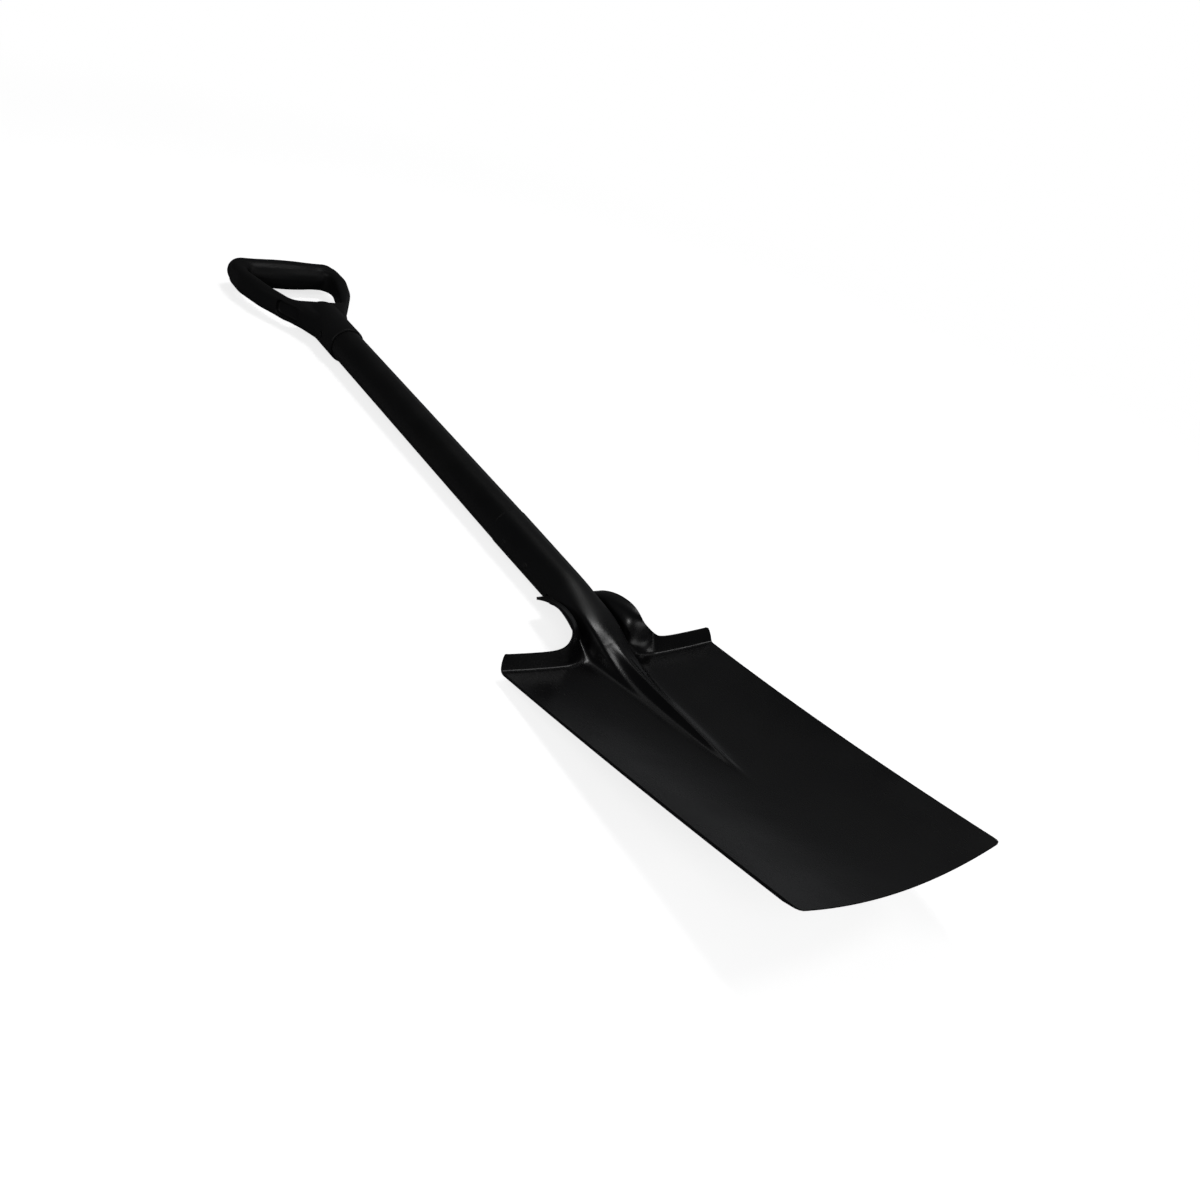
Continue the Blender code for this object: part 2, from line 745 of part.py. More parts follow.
def build():
    clear_scene()
    parts = new_collection("digging_spade")
    cutters = new_collection("cutters")
    enamel = new_material("head_enamel", (0.010, 0.010, 0.012), 0.32, 0.0)
    plastic = new_material("sleeve_plastic", (0.011, 0.011, 0.012), 0.42, 0.0)
    moulding = new_material("grip_moulding", (0.009, 0.009, 0.010), 0.28, 0.0)
    steel = new_material("tube_steel", (0.46, 0.46, 0.47), 0.38, 1.0)
    stopper = new_material("plug_plastic", (0.020, 0.020, 0.021), 0.55, 0.0)
    painted = new_material("rivet_paint", (0.011, 0.011, 0.012), 0.35, 0.0)

    spade = new_object("spade_frame", None, parts)
    shaft = new_object("shaft_frame", None, parts, spade)
    shaft.location.z = SHAFT_FORWARD
    shaft.rotation_euler.x = SHAFT_LIFT

    head = build_head(parts, spade, enamel)
    tube = build_tube(parts, shaft, steel)
    build_sleeve(parts, shaft, plastic)
    build_plug(parts, shaft, stopper)
    grip = build_grip(parts, cutters, shaft, moulding)
    build_rivets(parts, cutters, head, tube, grip, shaft, painted)
    hide_cutters(cutters)

    pieces = {thing.name: thing for thing in parts.objects if thing.type == "MESH"}
    shade_finished(pieces.values())
    lay_down(spade, pieces)


build()
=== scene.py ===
import math

import bmesh
import bpy
from mathutils import Matrix, Vector


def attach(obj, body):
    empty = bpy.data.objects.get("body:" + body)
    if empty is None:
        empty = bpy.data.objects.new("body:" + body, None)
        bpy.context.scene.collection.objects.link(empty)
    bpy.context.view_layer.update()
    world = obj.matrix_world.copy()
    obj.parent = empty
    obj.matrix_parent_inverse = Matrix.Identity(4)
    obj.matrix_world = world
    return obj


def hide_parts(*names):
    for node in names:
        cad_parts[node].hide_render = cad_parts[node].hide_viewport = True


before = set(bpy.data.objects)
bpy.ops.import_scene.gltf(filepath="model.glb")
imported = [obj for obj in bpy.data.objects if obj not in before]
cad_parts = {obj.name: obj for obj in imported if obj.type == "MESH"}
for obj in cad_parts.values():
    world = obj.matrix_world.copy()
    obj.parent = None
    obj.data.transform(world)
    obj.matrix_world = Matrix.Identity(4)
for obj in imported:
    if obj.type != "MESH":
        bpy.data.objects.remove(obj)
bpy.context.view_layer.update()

# Where the spade lies, with its tilt in radians. Its own frame has x to the side, y towards the grip and z
# out of the blade's face, with the fold of the treads at y = 0.
SPADE_PLACE = (0.0, -0.212517, 0.004229)
SPADE_TILT = -0.181673
SPADE = Matrix.Translation(SPADE_PLACE) @ Matrix.Rotation(SPADE_TILT, 4, "X")

# Blade, from the fold of the treads to the cutting edge
BLADE_LENGTH = 0.281
BLADE_TOP_WIDTH = 0.1885
BLADE_EDGE_WIDTH = 0.1678
BLADE_WAIST = 0.0010
EDGE_BOW = 0.002
DISH_TOP = 0.0044
DISH_EDGE = 0.0092
SIDE_SAG = 0.0024
MIDDLE_SAG = 0.0051
SHEET = 0.0020
GROUND_EDGE = 0.0007
GROUND_WIDTH = 0.0115       # how far up the blade the cutting edge is ground thinner
SHEARED_EDGE = 0.0003

# Treads
TREAD_HEIGHT = 0.0118
TREAD_TURN = math.radians(73)
TREAD_BEND = 0.0030
TREAD_END_CUT = 0.0035

# Ridge, with its rise and the share of its hollow sides by place along it
RIDGE_LENGTH = 0.152
RIDGE_HEIGHT = 0.0128
RIDGE_HALF_WIDTH = 0.0165
RIDGE_FOOT = 0.0080
RIDGE_HOLLOWS = ((-0.26, 1.0), (0.0, 0.0))
RIDGE_RISE = (
    (-1.0, 0.0), (-0.83, 0.17), (-0.69, 0.37), (-0.55, 0.54), (-0.39, 0.675),
    (-0.24, 0.79), (-0.13, 0.88), (-0.03, 1.10), (0.0, 1.22),
)

# Sections of ridge and neck, as height by share of the half width: hollow-sided, and with flattened sides.
# The foot's points are shares of the round part's half width, of the foot's width and of the height.
HOLLOW_SECTION = (
    (-0.05, 0.91), (0.0, 1.02), (0.05, 0.91), (0.29, 0.36), (0.66, 0.06), (0.82, 0.018), (1.0, 0.0),
)
FLAT_SECTION = ((0.0, 1.0), (0.3, 0.985), (0.80, 0.885), (0.93, 0.78), (1.0, 0.70))
FOOT_CURVE = ((0.985, 0.07, 0.255), (1.0, 0.20, 0.15), (1.0, 0.52, 0.045), (1.0, 1.0, 0.0))

# Neck, with how far its sides are flattened by place up it and by share of its half width
NECK_START = 0.008
NECK_TOP = 0.066
NECK_FLATS = ((0.022, 0.9), (0.045, 0.0))
NECK_FLATS_FADE = ((0.80, 1.0), (1.0, 0.0))
NECK_RISE = ((0.15, 0.268), (0.30, 0.424), (0.53, 0.62), (0.76, 0.81), (1.0, 1.0))
HOLLOW_RISE = (
    (0.0, 0.0), (0.06, 0.07), (0.15, 0.21), (0.27, 0.38), (0.39, 0.59),
    (0.52, 0.76), (0.64, 0.87), (0.76, 0.93), (0.88, 0.98), (1.0, 1.0),
)

# Wings, with how far their section bends out and forward by share of the neck's height
WING_HALF_SPAN = 0.0307
WING_FORWARD = 0.0313
WING_TOP_DROP = 0.0066
WING_LOW_DROP = 0.0196
WING_LOW_CURVE = 2.6
WING_DIP = 0.0055
WING_RIM_DROP = 0.0015
WING_PEAK = 0.53            # where the rim stands furthest forward, as a share of the neck's height
WING_OUT = ((0.10, 0.85), (0.16, 0.55), (0.30, 0.02), (0.70, 0.02), (0.90, 0.20))
WING_BEND = ((0.10, 0.05), (0.16, 0.35), (0.30, 0.86), (0.70, 0.88), (0.90, 0.70))
NOTCH_RADIUS = 0.010

# Socket and shaft
SOCKET_START = 0.074
SOCKET_END = 0.162
SOCKET_MOUTH_RADIUS = 0.0168
SOCKET_ROOT_RADIUS = 0.0161
SEAM = 0.0006
SHAFT_LIFT = math.radians(10.66)
SHAFT_FORWARD = 0.01206
SHAFT = SPADE @ Matrix.Translation((0.0, 0.0, SHAFT_FORWARD)) @ Matrix.Rotation(SHAFT_LIFT, 4, "X")
TUBE_RADIUS = 0.0150
SLEEVE_RADIUS = 0.0164
CLEARANCE = 0.0003
SLEEVE_LIP = 0.0004
TURNED_STEPS = 96

# Grip, with the size of the faces that blend it and the number of rounds
GRIP_START = 0.503
GRIP_NECK_RADIUS = 0.0183
GRIP_FACES = 0.0009
GRIP_ROUNDS = 14

# Rivets, by place along the shaft, and the section of their ends in shares of radius and dome
LOWER_RIVET = 0.108
UPPER_RIVET = 0.142
GRIP_PIN = 0.530
RIVET_RADIUS = 0.0027
RIVET_DOME = 0.0004
RIVET_END = ((1.0, -1.5), (1.0, -0.25), (0.93, 0.3), (0.75, 0.65), (0.45, 0.9), (0.0, 1.0))

# Stretches over which the head's lines are rounded, along the spade and across a section
EASE_TAPS = 25
ROOT_EASE = 0.006
CREST_EASE = 0.018
WIDTH_EASE = 0.012
CHANGE_EASE = 0.03
FADE_EASE = 0.1
WING_EASE = 0.1
HOLLOW_SECTION_EASE = 0.12
FLAT_SECTION_EASE = 0.2

# How finely the head is divided
BLADE_ROWS = 48
NECK_ROWS = 24
SOCKET_ROWS = 16
FOLD_TURNS = 6
WING_COLUMNS = 10
TREAD_COLUMNS = 14
TREAD_SPREAD = 1.3
WING_ROOT = 0.22            # how much of the blade's flat lies below the wing's columns
FRONT_TURNS = [math.radians(8.5 * step) for step in range(9)]
SIDE_TURNS = [math.radians(turn) for turn in (75.5, 83, 90, 97)]
BACK_TURNS = [math.radians(turn) for turn in (105, 114, 123, 131, 139, 148, 156, 164, 172)]

# Finish: how glossy the black surfaces are, and where up the neck the enamel gets duller
SPECULAR = 0.35
GRIP_SPECULAR = 0.14
DULL_START = -0.197
DULL_END = -0.170

# Studio: lamps by bearing and height in degrees, size and power
LAMPS = {
    "key_light": (38.0, 72.5, 0.5, 7.5),
    "ridge_light": (75.0, 58.0, 0.6, 0.5),
    "back_light": (30.0, 36.0, 1.2, 0.25),
    "side_light": (192.0, 24.0, 0.4, 8.0),
    "front_light": (332.0, 45.0, 0.6, 4.0),
    "low_light": (283.0, 20.0, 0.5, 3.0),
    "fill_light": (240.0, 32.0, 1.0, 5.0),
}
LAMP_DISTANCE = 2.2
PALE_BEARING = math.radians(12)
PALE_HEIGHT = 0.34
PALE_LEVEL = 0.22
DARK_LEVEL = 0.045
FLOOR_RADIUS = 40.0
FLOOR_DROP = 0.0004
FLOOR_NEAR = 0.7
FLOOR_FAR = 1.5

# Camera, its turn in degrees
CAMERA_PLACE = (-0.498637, -0.724454, 0.462932)
CAMERA_TURN = (58.614716, -15.874467, -32.952561)
CAMERA_LENS = 35.086


# The head's shape

def straight(stations, place):
    """The value at a place on a line through (place, value) stations."""
    if place <= stations[0][0]:
        return stations[0][1]
    for (low, start), (high, end) in zip(stations, stations[1:]):
        if place <= high:
            return start + (end - start) * (place - low) / (high - low)
    return stations[-1][1]


def eased(stations, place, reach):
    """The same line, averaged over a stretch so that its corners are round."""
    spread = [reach * (step / (EASE_TAPS - 1) - 0.5) for step in range(EASE_TAPS)]
    return sum(straight(stations, place + offset) for offset in spread) / EASE_TAPS


def even_steps(start, end, count):
    return [start + (end - start) * step / count for step in range(count + 1)]


def half_width(y):
    share = min(max(-y / BLADE_LENGTH, 0.0), 1.0)
    straight_side = 0.5 * (BLADE_TOP_WIDTH * (1 - share) + BLADE_EDGE_WIDTH * share)
    return straight_side - 4 * share * (1 - share) * BLADE_WAIST


def blade_level(x, y):
    share = min(max(-y / BLADE_LENGTH, 0.0), 1.0)
    across = (x / half_width(y)) ** 2
    dish = DISH_TOP * (1 - share) + DISH_EDGE * share
    sag = 4 * share * (1 - share) * (SIDE_SAG + MIDDLE_SAG * (1 - across))
    return dish * across - sag


def axis_level(y):
    return SHAFT_FORWARD + y * math.tan(SHAFT_LIFT)


def socket_radius(place):
    share = (SOCKET_END - place) / (SOCKET_END - SOCKET_START)
    return SOCKET_MOUTH_RADIUS + (SOCKET_ROOT_RADIUS - SOCKET_MOUTH_RADIUS) * share


def root_rise(y):
    """Height of the hollow beside the neck over the blade's level."""
    top = axis_level(NECK_TOP)
    stations = [(NECK_TOP * place, top * share) for place, share in HOLLOW_RISE]
    return eased(stations, y, ROOT_EASE)


def crest_rise(y):
    """Height of the ridge's and the neck's crest over the hollow beside it."""
    step_up = axis_level(NECK_TOP) + SOCKET_ROOT_RADIUS / math.cos(SHAFT_LIFT) - RIDGE_HEIGHT
    stations = [(RIDGE_LENGTH * place, RIDGE_HEIGHT * share) for place, share in RIDGE_RISE]
    stations += [(NECK_TOP * place, RIDGE_HEIGHT + step_up * share) for place, share in NECK_RISE]
    stations.append((2 * NECK_TOP, stations[-1][1] + NECK_TOP * math.tan(SHAFT_LIFT)))
    return eased(stations, y, CREST_EASE) - root_rise(y)


def round_half_width(y):
    """Half width of the round part of ridge and neck."""
    wide = RIDGE_HALF_WIDTH
    stations = [
        (-BLADE_LENGTH, 0.50 * wide),
        (-1.05 * RIDGE_LENGTH, 0.24 * wide),
        (-0.72 * RIDGE_LENGTH, 0.36 * wide),
        (-0.40 * RIDGE_LENGTH, 0.60 * wide),
        (-0.18 * RIDGE_LENGTH, 0.80 * wide),
        (0.0, 0.92 * wide),
        (0.30 * NECK_TOP, wide),
        (NECK_TOP, SOCKET_ROOT_RADIUS),
    ]
    return eased(stations, y, WIDTH_EASE)


def foot_width(y):
    """Width of the curve from the round part out to the sheet."""
    stations = [
        (-BLADE_LENGTH, 0.60 * RIDGE_FOOT),
        (-RIDGE_LENGTH, 0.95 * RIDGE_FOOT),
        (-0.40 * RIDGE_LENGTH, 1.2 * RIDGE_FOOT),
        (0.0, RIDGE_FOOT),
        (0.30 * NECK_TOP, 0.38 * RIDGE_FOOT),
        (NECK_TOP, 0.25 * RIDGE_FOOT),
    ]
    return eased(stations, y, WIDTH_EASE)


def hollow_share(y):
    """How far the ridge's section has changed from round to hollow-sided, down the blade."""
    return eased([(RIDGE_LENGTH * place, share) for place, share in RIDGE_HOLLOWS], y, CHANGE_EASE)


def ridge_points(y):
    """Points from the crest to the sheet beside the ridge or the neck."""
    wide = round_half_width(y)
    foot = foot_width(y)
    rise = crest_rise(y)
    base = root_rise(y)
    hollow = hollow_share(y)
    flats = eased(NECK_FLATS, y, WIDTH_EASE)
    section = [(wide * math.sin(turn), math.cos(turn)) for turn in FRONT_TURNS]
    section += [(inner * wide + outer * foot, share) for inner, outer, share in FOOT_CURVE]
    points = []
    for x, share in section:
        flat = flats * eased(NECK_FLATS_FADE, x / wide, FADE_EASE)
        share += flat * (eased(FLAT_SECTION, x / wide, FLAT_SECTION_EASE) - share)
        share += hollow * (eased(HOLLOW_SECTION, x / (wide + foot), HOLLOW_SECTION_EASE) - share)
        points.append(Vector((x, y, blade_level(x, y) + base + rise * share)))
    return points


def tread_top():
    """How far up from the fold a tread's top edge stands."""
    return TREAD_HEIGHT * math.cos(TREAD_TURN)


def fold_start():
    """Where the bend of the treads leaves the blade."""
    return -TREAD_BEND * math.tan(TREAD_TURN / 2)


def wing_rim(y):
    """The point of a wing's rim that belongs to a place up the neck."""
    rim_y = y - WING_DIP * math.sin(math.pi * y / NECK_TOP) - WING_RIM_DROP
    low = max(tread_top() + NOTCH_RADIUS - rim_y, 0.0)
    rim_x = WING_HALF_SPAN + NOTCH_RADIUS - math.sqrt(max(NOTCH_RADIUS**2 - low**2, 0.0))
    peak = WING_PEAK * NECK_TOP
    if rim_y > peak:
        rim_z = WING_FORWARD - WING_TOP_DROP * ((rim_y - peak) / (NECK_TOP - peak)) ** 2
    else:
        rim_z = WING_FORWARD - WING_LOW_DROP * ((peak - rim_y) / peak) ** WING_LOW_CURVE
    return Vector((rim_x, rim_y, rim_z))


def wing_points(y):
    """Points from the hollow beside the neck out to the wing's rim."""
    root = ridge_points(y)[-1]
    rim = wing_rim(y)
    out = eased(WING_OUT, y / NECK_TOP, WING_EASE)
    forward = eased(WING_BEND, y / NECK_TOP, WING_EASE)
    points = []
    for step in range(1, WING_COLUMNS + 1):
        part = step / WING_COLUMNS
        bend = 2 * part * (1 - part)
        x = root.x + (rim.x - root.x) * (part**2 + bend * out)
        z = root.z + (rim.z - root.z) * (part**2 + bend * forward)
        points.append(Vector((x, root.y + (rim.y - root.y) * part, z)))
    return points


def fold_steps():
    """Shares of a tread's forward rise and of its upward run, round the fold and up to its top."""
    rise = TREAD_HEIGHT * math.sin(TREAD_TURN)
    run = tread_top() - fold_start()
    steps = []
    for step in range(1, FOLD_TURNS + 1):
        turn = TREAD_TURN * step / FOLD_TURNS
        steps.append((TREAD_BEND * (1 - math.cos(turn)) / rise, TREAD_BEND * math.sin(turn) / run))
    rise_share, run_share = steps[-1]
    for part in (0.25, 0.5, 0.75, 1.0):
        steps.append((rise_share + (1 - rise_share) * part, run_share + (1 - run_share) * part))
    return steps


def blade_row(y):
    """One row of points across the half blade, from the crest out to the side edge."""
    row = ridge_points(y)
    foot = row[-1].x
    side = half_width(y)
    inner = foot + WING_ROOT * (side - foot)
    for step in range(1, WING_COLUMNS + 1):
        x = foot + (inner - foot) * step / WING_COLUMNS
        row.append(Vector((x, y, blade_level(x, y))))
    for step in range(1, TREAD_COLUMNS + 1):
        x = inner + (side - inner) * (step / TREAD_COLUMNS) ** TREAD_SPREAD
        row.append(Vector((x, y, blade_level(x, y))))
    for point in row:
        point.y += EDGE_BOW * y / BLADE_LENGTH * (1 - (point.x / side) ** 2)
    return row


def fold_row(base, rise_share, run_share):
    """One row of points across the treads, the roots of the wings and the neck."""
    start = fold_start()
    row = ridge_points(start + (NECK_START - start) * run_share)
    ends = wing_points(NECK_START)
    inner = len(row)
    rim = ends[-1]
    for end, point in zip(ends, base[inner:]):
        x = point.x + (end.x - point.x) * rise_share
        y = start + (end.y - start) * run_share
        row.append(Vector((x, y, point.z + (end.z - point.z) * rise_share)))
    rise = TREAD_HEIGHT * math.sin(TREAD_TURN)
    for point in base[inner + WING_COLUMNS:]:
        near_wing = math.exp(-(point.x - rim.x) / (0.5 * NOTCH_RADIUS))
        top_z = rise + (rim.z - rise) * near_wing
        top_y = tread_top() + (rim.y - tread_top()) * near_wing
        row.append(Vector((point.x, start + (top_y - start) * run_share, point.z + top_z * rise_share)))
    row[-1].x -= TREAD_END_CUT * rise_share**2
    return row


def socket_row(place, turns):
    """Points round the half socket, square to the shaft."""
    along = Vector((0, math.cos(SHAFT_LIFT), math.sin(SHAFT_LIFT)))
    forward = Vector((0, -math.sin(SHAFT_LIFT), math.cos(SHAFT_LIFT)))
    middle = Vector((0, 0, SHAFT_FORWARD)) + along * place
    radius = socket_radius(place)
    side = Vector((1, 0, 0))
    return [middle + radius * (side * math.sin(turn) + forward * math.cos(turn)) for turn in turns]


def add_patch(shape, rows):
    """A grid of faces laid over rows of points."""
    columns = len(rows[0])
    made = bmesh.ops.create_grid(shape, x_segments=columns - 1, y_segments=len(rows) - 1, size=0.5)["verts"]
    made.sort(key=lambda corner: (round(corner.co.y, 5), round(corner.co.x, 5)))
    for corner, point in zip(made, (point for row in rows for point in row)):
        corner.co = point


def head_half():
    """The right half of the pressing as one open sheet, its front face towards +z."""
    shape = bmesh.new()
    blade = [blade_row(y) for y in even_steps(-BLADE_LENGTH, fold_start(), BLADE_ROWS)]
    fold = [fold_row(blade[-1], *shares) for shares in fold_steps()]
    neck = [ridge_points(y) + wing_points(y) for y in even_steps(NECK_START, NECK_TOP, NECK_ROWS)[1:]]
    gap = math.asin(0.5 * SEAM / SOCKET_MOUTH_RADIUS)
    turns = FRONT_TURNS + SIDE_TURNS + BACK_TURNS + [math.pi - gap]
    socket = [socket_row(place, turns) for place in even_steps(SOCKET_START, SOCKET_END, SOCKET_ROWS)]
    count = len(FRONT_TURNS + SIDE_TURNS)
    add_patch(shape, blade + fold)
    add_patch(shape, [fold[-1][:count + WING_COLUMNS]] + neck)
    add_patch(shape, [neck[-1][:count], socket[0][:count]])
    add_patch(shape, socket)
    bmesh.ops.remove_doubles(shape, verts=shape.verts, dist=0.00002)
    return shape


def finished(name, shape, place, material, node):
    """A new piece from a mesh in the given frame, which stands for a CAD node."""
    shape.transform(place)
    mesh = bpy.data.meshes.new(name)
    shape.to_mesh(mesh)
    shape.free()
    mesh.shade_smooth()
    mesh.materials.append(material)
    made = bpy.data.objects.new(name, mesh)
    bpy.context.scene.collection.objects.link(made)
    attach(made, "root")
    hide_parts(node)
    return made


def build_head(material):
    """The pressing: its half sheet mirrored, smoothed, given its thickness and its edges sheared."""
    here = Matrix.Identity(4)
    head = finished("spade_head", head_half(), here, material, "pressed_head")
    sheet = head.vertex_groups.new(name="full_sheet")
    for corner in head.data.vertices:
        share = min(max((corner.co.y + BLADE_LENGTH) / GROUND_WIDTH, 0.0), 1.0)
        sheet.add([corner.index], share, "REPLACE")
    mirror = head.modifiers.new("other_half", "MIRROR")
    mirror.merge_threshold = 0.0001
    round_off = head.modifiers.new("smooth", "SUBSURF")
    round_off.levels = 1
    round_off.render_levels = 1
    wall = head.modifiers.new("sheet", "SOLIDIFY")
    wall.thickness = SHEET
    wall.offset = -1.0
    wall.vertex_group = sheet.name
    wall.thickness_vertex_group = GROUND_EDGE / SHEET
    rim = head.modifiers.new("sheared_edges", "BEVEL")
    rim.width = SHEARED_EDGE
    rim.segments = 2
    rim.limit_method = "ANGLE"
    rim.angle_limit = math.radians(50)
    rim.harden_normals = True
    baked = bpy.data.meshes.new_from_object(head.evaluated_get(bpy.context.evaluated_depsgraph_get()))
    baked.transform(SPADE)
    head.modifiers.clear()
    head.data = baked


# Pieces on the shaft

def turn_piece(name, profile, place, material, node):
    """A piece turned from (radius, distance) points of its section, which is closed round a bore."""
    shape = bmesh.new()
    points = [shape.verts.new((radius, distance, 0.0)) for radius, distance in profile]
    pairs = list(zip(points, points[1:]))
    if profile[0][0] > 0.0:
        pairs.append((points[-1], points[0]))
    rim = [shape.edges.new(pair) for pair in pairs]
    bmesh.ops.spin(
        shape, geom=points + rim, cent=(0, 0, 0), axis=(0, 1, 0), angle=2 * math.pi, steps=TURNED_STEPS,
        use_merge=True, use_duplicate=False,
    )
    bmesh.ops.remove_doubles(shape, verts=shape.verts, dist=0.000005)
    bmesh.ops.recalc_face_normals(shape, faces=shape.faces)
    made = finished(name, shape, place, material, node)
    made.data.set_sharp_from_angle(angle=math.radians(40))


def build_sleeve(material):
    top = GRIP_START - CLEARANCE
    bottom = SOCKET_END + CLEARANCE
    inner = TUBE_RADIUS + CLEARANCE
    profile = [
        (SLEEVE_RADIUS - SLEEVE_LIP, top),
        (SLEEVE_RADIUS, top - SLEEVE_LIP),
        (SLEEVE_RADIUS, bottom + SLEEVE_LIP),
        (SLEEVE_RADIUS - SLEEVE_LIP, bottom),
        (inner, bottom),
        (inner, top),
    ]
    turn_piece("sleeve", profile, SHAFT, material, "shaft_sleeve")


def build_rivet(name, place, reach, material, node):
    """A pin across the shaft, its ends set to low domes."""
    end = [(RIVET_RADIUS * share, reach + RIVET_DOME * rise) for share, rise in RIVET_END]
    profile = [(radius, -distance) for radius, distance in reversed(end)] + end
    across = SHAFT @ Matrix.Translation((0.0, place, 0.0)) @ Matrix.Rotation(-math.pi / 2, 4, "Z")
    turn_piece(name, profile, across, material, node)


def build_rivets(material):
    build_rivet("lower_rivet", LOWER_RIVET, socket_radius(LOWER_RIVET), material, "socket_rivet_lower")
    build_rivet("upper_rivet", UPPER_RIVET, socket_radius(UPPER_RIVET), material, "socket_rivet_upper")
    build_rivet("grip_pin", GRIP_PIN, GRIP_NECK_RADIUS, material, "grip_rivet")


def build_grip(material):
    """The moulded grip: the CAD solid with its joins blended as a mould blends them."""
    shape = bmesh.new()
    shape.from_mesh(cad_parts["d_grip"].data)
    bmesh.ops.remove_doubles(shape, verts=shape.verts, dist=0.00001)
    grip = finished("grip_moulding", shape, Matrix.Identity(4), material, "d_grip")
    even_faces = grip.modifiers.new("even_faces", "REMESH")
    even_faces.mode = "VOXEL"
    even_faces.voxel_size = GRIP_FACES
    even_faces.use_smooth_shade = True
    blend = grip.modifiers.new("blend", "SMOOTH")
    blend.factor = 0.5
    blend.iterations = GRIP_ROUNDS
    baked = bpy.data.meshes.new_from_object(grip.evaluated_get(bpy.context.evaluated_depsgraph_get()))
    grip.modifiers.clear()
    grip.data = baked
    baked.shade_smooth()


# Materials

class Value:
    """A socket of a material, on which Python's operators add Math nodes."""

    def __init__(self, paint, socket):
        self.paint = paint
        self.socket = socket

    def maths(self, operation, first, second):
        return self.paint.node("Math", {"operation": operation}, {0: first, 1: second})

    def __add__(self, other):
        return self.maths("ADD", self, other)

    def __radd__(self, other):
        return self.maths("ADD", other, self)

    def __mul__(self, other):
        return self.maths("MULTIPLY", self, other)

    def __rmul__(self, other):
        return self.maths("MULTIPLY", other, self)


class Paint:
    """The nodes of one material or of the world."""

    def __init__(self, owner):
        owner.use_nodes = True
        self.owner = owner
        self.tree = owner.node_tree
        self.tree.nodes.clear()

    def node(self, kind, settings=None, inputs=None, output=0):
        made = self.tree.nodes.new("ShaderNode" + kind)
        for name, value in (settings or {}).items():
            setattr(made, name, value)
        for name, value in (inputs or {}).items():
            if isinstance(value, Value):
                self.tree.links.new(value.socket, made.inputs[name])
            else:
                made.inputs[name].default_value = value
        return Value(self, made.outputs[output])

    def place(self, scale=(1.0, 1.0, 1.0)):
        """Object coordinates, with a pattern drawn out by the scale."""
        raw = self.node("TexCoord", output="Object")
        return self.node("Mapping", {"vector_type": "TEXTURE"}, {"Vector": raw, "Scale": scale})

    def noise(self, place, scale, detail):
        return self.node("TexNoise", None, {"Vector": place, "Scale": scale, "Detail": detail})

    def between(self, value, low, high, start=0.0, end=1.0):
        """A value from start to end as the given one goes from low to high."""
        return self.node("MapRange", {"interpolation_type": "SMOOTHSTEP"}, {
            "Value": value, "From Min": low, "From Max": high, "To Min": start, "To Max": end,
        })

    def blend(self, share, first, second):
        tones = {0: share, 6: (*first, 1.0), 7: (*second, 1.0)}
        return self.node("Mix", {"data_type": "RGBA"}, tones, output=2)

    def bump(self, height, distance, strength, below=None):
        inputs = {"Height": height, "Distance": distance, "Strength": strength}
        if below:
            inputs["Normal"] = below
        return self.node("Bump", None, inputs)

    def surface(self, **inputs):
        names = {name.replace("_", " "): value for name, value in inputs.items()}
        shader = self.node("BsdfPrincipled", None, names)
        self.end("OutputMaterial", shader)
        return self.owner

    def end(self, kind, shader):
        last = self.tree.nodes.new("ShaderNode" + kind)
        self.tree.links.new(shader.socket, last.inputs["Surface"])


def new_paint(name):
    return Paint(bpy.data.materials.new(name))


def head_enamel():
    paint = new_paint("head_enamel")
    here = paint.place()
    clouds = paint.noise(here, 22.0, 3.0)
    peel = paint.noise(here, 620.0, 2.0)
    press = paint.noise(here, 26.0, 1.0)
    streaks = paint.noise(paint.place(scale=(1.0, 14.0, 1.0)), 900.0, 2.0)
    rubbed = paint.between(streaks, 0.60, 0.78)
    along = paint.node("SeparateXYZ", None, {0: here}, output="Y")
    dull_socket = paint.between(along, DULL_START, DULL_END)
    normal = paint.bump(peel, 0.00008, 0.5, paint.bump(press, 0.0012, 0.4))
    return paint.surface(
        Specular_IOR_Level=SPECULAR,
        Base_Color=paint.blend(clouds, (0.0016, 0.0016, 0.0019), (0.0028, 0.0028, 0.0032)),
        Roughness=paint.between(clouds, 0.3, 0.7, 0.24, 0.29) + rubbed * 0.05 + dull_socket * 0.14,
        Normal=normal,
    )


def sleeve_plastic():
    paint = new_paint("sleeve_plastic")
    here = paint.place()
    clouds = paint.noise(here, 30.0, 3.0)
    grain = paint.noise(here, 1900.0, 2.0)
    return paint.surface(
        Specular_IOR_Level=SPECULAR,
        Base_Color=paint.blend(clouds, (0.0016, 0.0016, 0.0017), (0.0026, 0.0026, 0.0027)),
        Roughness=paint.between(clouds, 0.3, 0.7, 0.36, 0.44),
        Normal=paint.bump(grain, 0.00006, 0.5),
    )


def grip_moulding():
    paint = new_paint("grip_moulding")
    here = paint.place()
    clouds = paint.noise(here, 40.0, 3.0)
    sink = paint.noise(here, 60.0, 1.0)
    return paint.surface(
        Specular_IOR_Level=GRIP_SPECULAR,
        Base_Color=paint.blend(clouds, (0.0070, 0.0070, 0.0073), (0.0100, 0.0100, 0.0104)),
        Roughness=paint.between(clouds, 0.3, 0.7, 0.42, 0.50),
        Normal=paint.bump(sink, 0.0006, 0.3),
    )


def rivet_paint():
    paint = new_paint("rivet_paint")
    clouds = paint.noise(paint.place(), 400.0, 2.0)
    return paint.surface(
        Specular_IOR_Level=SPECULAR,
        Base_Color=paint.blend(clouds, (0.0030, 0.0030, 0.0034), (0.0060, 0.0060, 0.0064)),
        Roughness=paint.between(clouds, 0.3, 0.7, 0.34, 0.46),
        Normal=paint.bump(clouds, 0.00005, 0.5),
    )


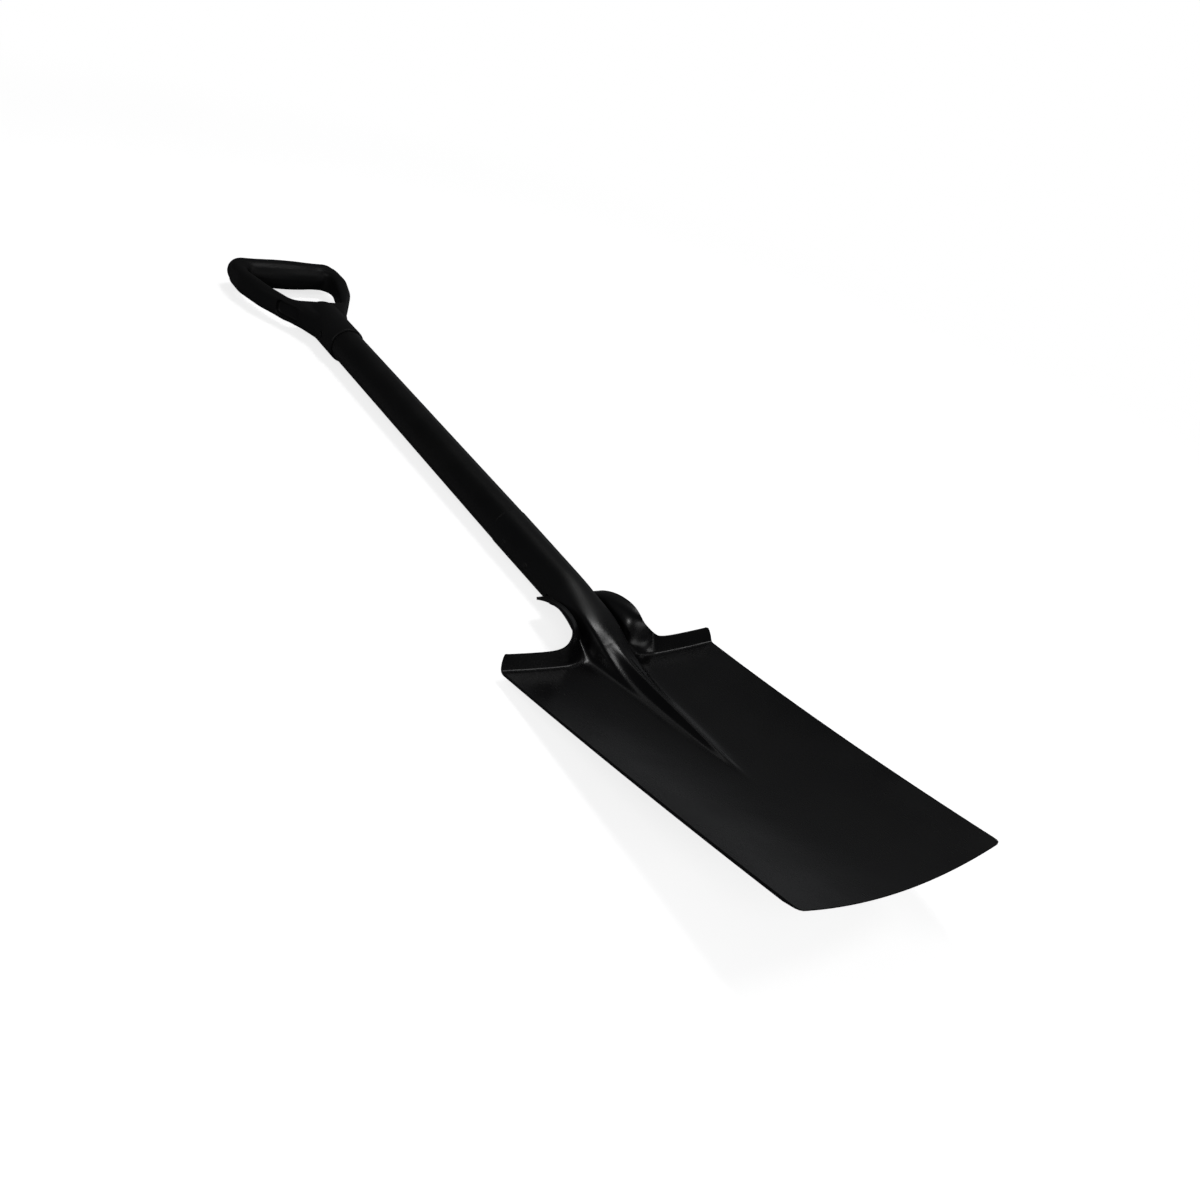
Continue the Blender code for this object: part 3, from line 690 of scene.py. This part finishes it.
def tube_steel():
    paint = new_paint("tube_steel")
    drawn = paint.noise(paint.place(scale=(1.0, 30.0, 1.0)), 1500.0, 2.0)
    return paint.surface(
        Specular_IOR_Level=SPECULAR,
        Base_Color=paint.blend(drawn, (0.36, 0.36, 0.37), (0.50, 0.50, 0.51)),
        Roughness=paint.between(drawn, 0.3, 0.7, 0.30, 0.42),
        Metallic=1.0,
        Normal=paint.bump(drawn, 0.00003, 0.5),
    )


def plug_plastic():
    paint = new_paint("plug_plastic")
    grain = paint.noise(paint.place(), 1200.0, 2.0)
    return paint.surface(
        Specular_IOR_Level=SPECULAR,
        Base_Color=paint.blend(grain, (0.012, 0.012, 0.013), (0.020, 0.020, 0.021)),
        Roughness=paint.between(grain, 0.3, 0.7, 0.5, 0.6),
        Normal=paint.bump(grain, 0.00006, 0.5),
    )


# Studio

def white_for_camera(paint, seen, other):
    """Mixes two shaders so that the camera and glass see the first."""
    to_camera = paint.node("LightPath", output="Is Camera Ray")
    through_glass = paint.node("LightPath", output="Is Transmission Ray")
    return paint.node("MixShader", None, {0: to_camera + through_glass, 1: other, 2: seen})


def build_floor():
    """A pale floor that holds the spade's shadow near it and fades to white further out."""
    shape = bmesh.new()
    bmesh.ops.create_circle(shape, cap_ends=True, cap_tris=False, segments=96, radius=FLOOR_RADIUS)
    mesh = bpy.data.meshes.new("floor")
    shape.to_mesh(mesh)
    shape.free()
    floor = bpy.data.objects.new("floor", mesh)
    floor.location.z = -FLOOR_DROP
    bpy.context.scene.collection.objects.link(floor)
    paint = new_paint("pale_floor")
    lit = paint.node("BsdfDiffuse", None, {"Color": (0.86, 0.86, 0.86, 1.0)})
    glow = paint.node("Emission", None, {"Color": (1.0, 1.0, 1.0, 1.0), "Strength": 0.75})
    near = paint.node("AddShader", None, {0: lit, 1: glow})
    far = paint.node("Emission", None, {"Color": (1.0, 1.0, 1.0, 1.0), "Strength": 1.0})
    here = paint.node("TexCoord", output="Object")
    reach = paint.node("VectorMath", {"operation": "LENGTH"}, {0: here}, output="Value")
    seen = paint.node("MixShader", None, {0: paint.between(reach, FLOOR_NEAR, FLOOR_FAR), 1: near, 2: far})
    dim = paint.node("BsdfDiffuse", None, {"Color": (0.16, 0.16, 0.165, 1.0)})
    paint.end("OutputMaterial", white_for_camera(paint, seen, dim))
    mesh.materials.append(paint.owner)


def build_world():
    """Dark for everything but the camera, with a pale stretch of horizon behind the spade."""
    world = bpy.data.worlds.new("studio")
    bpy.context.scene.world = world
    paint = Paint(world)
    seen = paint.node("Background", None, {"Color": (1.0, 1.0, 1.0, 1.0), "Strength": 1.0})
    way = paint.node("TexCoord", output="Generated")
    height = paint.node("SeparateXYZ", None, {0: way}, output="Z")
    flat = paint.node("VectorMath", {"operation": "MULTIPLY"}, {0: way, 1: (1.0, 1.0, 0.0)})
    bearing = paint.node("VectorMath", {"operation": "NORMALIZE"}, {0: flat})
    middle = (math.cos(PALE_BEARING), math.sin(PALE_BEARING), 0.0)
    ends = {0: bearing, 1: middle}
    aligned = paint.node("VectorMath", {"operation": "DOT_PRODUCT"}, ends, output="Value")
    pale = paint.between(height, 0.0, PALE_HEIGHT, 1.0, 0.0) * paint.between(aligned, 0.5, 1.0)
    level = pale * PALE_LEVEL + DARK_LEVEL
    other = paint.node("Background", None, {"Color": (0.95, 0.97, 1.0, 1.0), "Strength": level})
    paint.end("OutputWorld", white_for_camera(paint, seen, other))


def add_lamp(name, bearing, height, size, power):
    """A round soft box that faces the spade."""
    light = bpy.data.lights.new(name, "AREA")
    light.shape = "DISK"
    light.size = size
    light.energy = power
    lamp = bpy.data.objects.new(name, light)
    turn = Matrix.Rotation(math.radians(bearing), 4, "Z") @ Matrix.Rotation(math.radians(-height), 4, "Y")
    place = turn @ Vector((LAMP_DISTANCE, 0.0, 0.0))
    lamp.location = place
    lamp.rotation_euler = (-place).to_track_quat("-Z", "Y").to_euler()
    bpy.context.scene.collection.objects.link(lamp)


def build_camera():
    camera = bpy.data.cameras.new("camera")
    camera.sensor_width = 36.0
    camera.lens = CAMERA_LENS
    view = bpy.data.objects.new("camera", camera)
    view.location = CAMERA_PLACE
    view.rotation_euler = [math.radians(turn) for turn in CAMERA_TURN]
    bpy.context.scene.collection.objects.link(view)
    bpy.context.scene.camera = view


def paint_node(name, material):
    """Gives a CAD node that is kept its finish."""
    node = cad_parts[name]
    node.data.materials.clear()
    node.data.materials.append(material)


build_camera()
build_floor()
build_world()
for lamp_name, setting in LAMPS.items():
    add_lamp(lamp_name, *setting)
build_head(head_enamel())
build_sleeve(sleeve_plastic())
build_grip(grip_moulding())
build_rivets(rivet_paint())
paint_node("shaft_tube", tube_steel())
paint_node("shaft_end_plug", plug_plastic())

bpy.context.scene.view_settings.view_transform = "Standard"
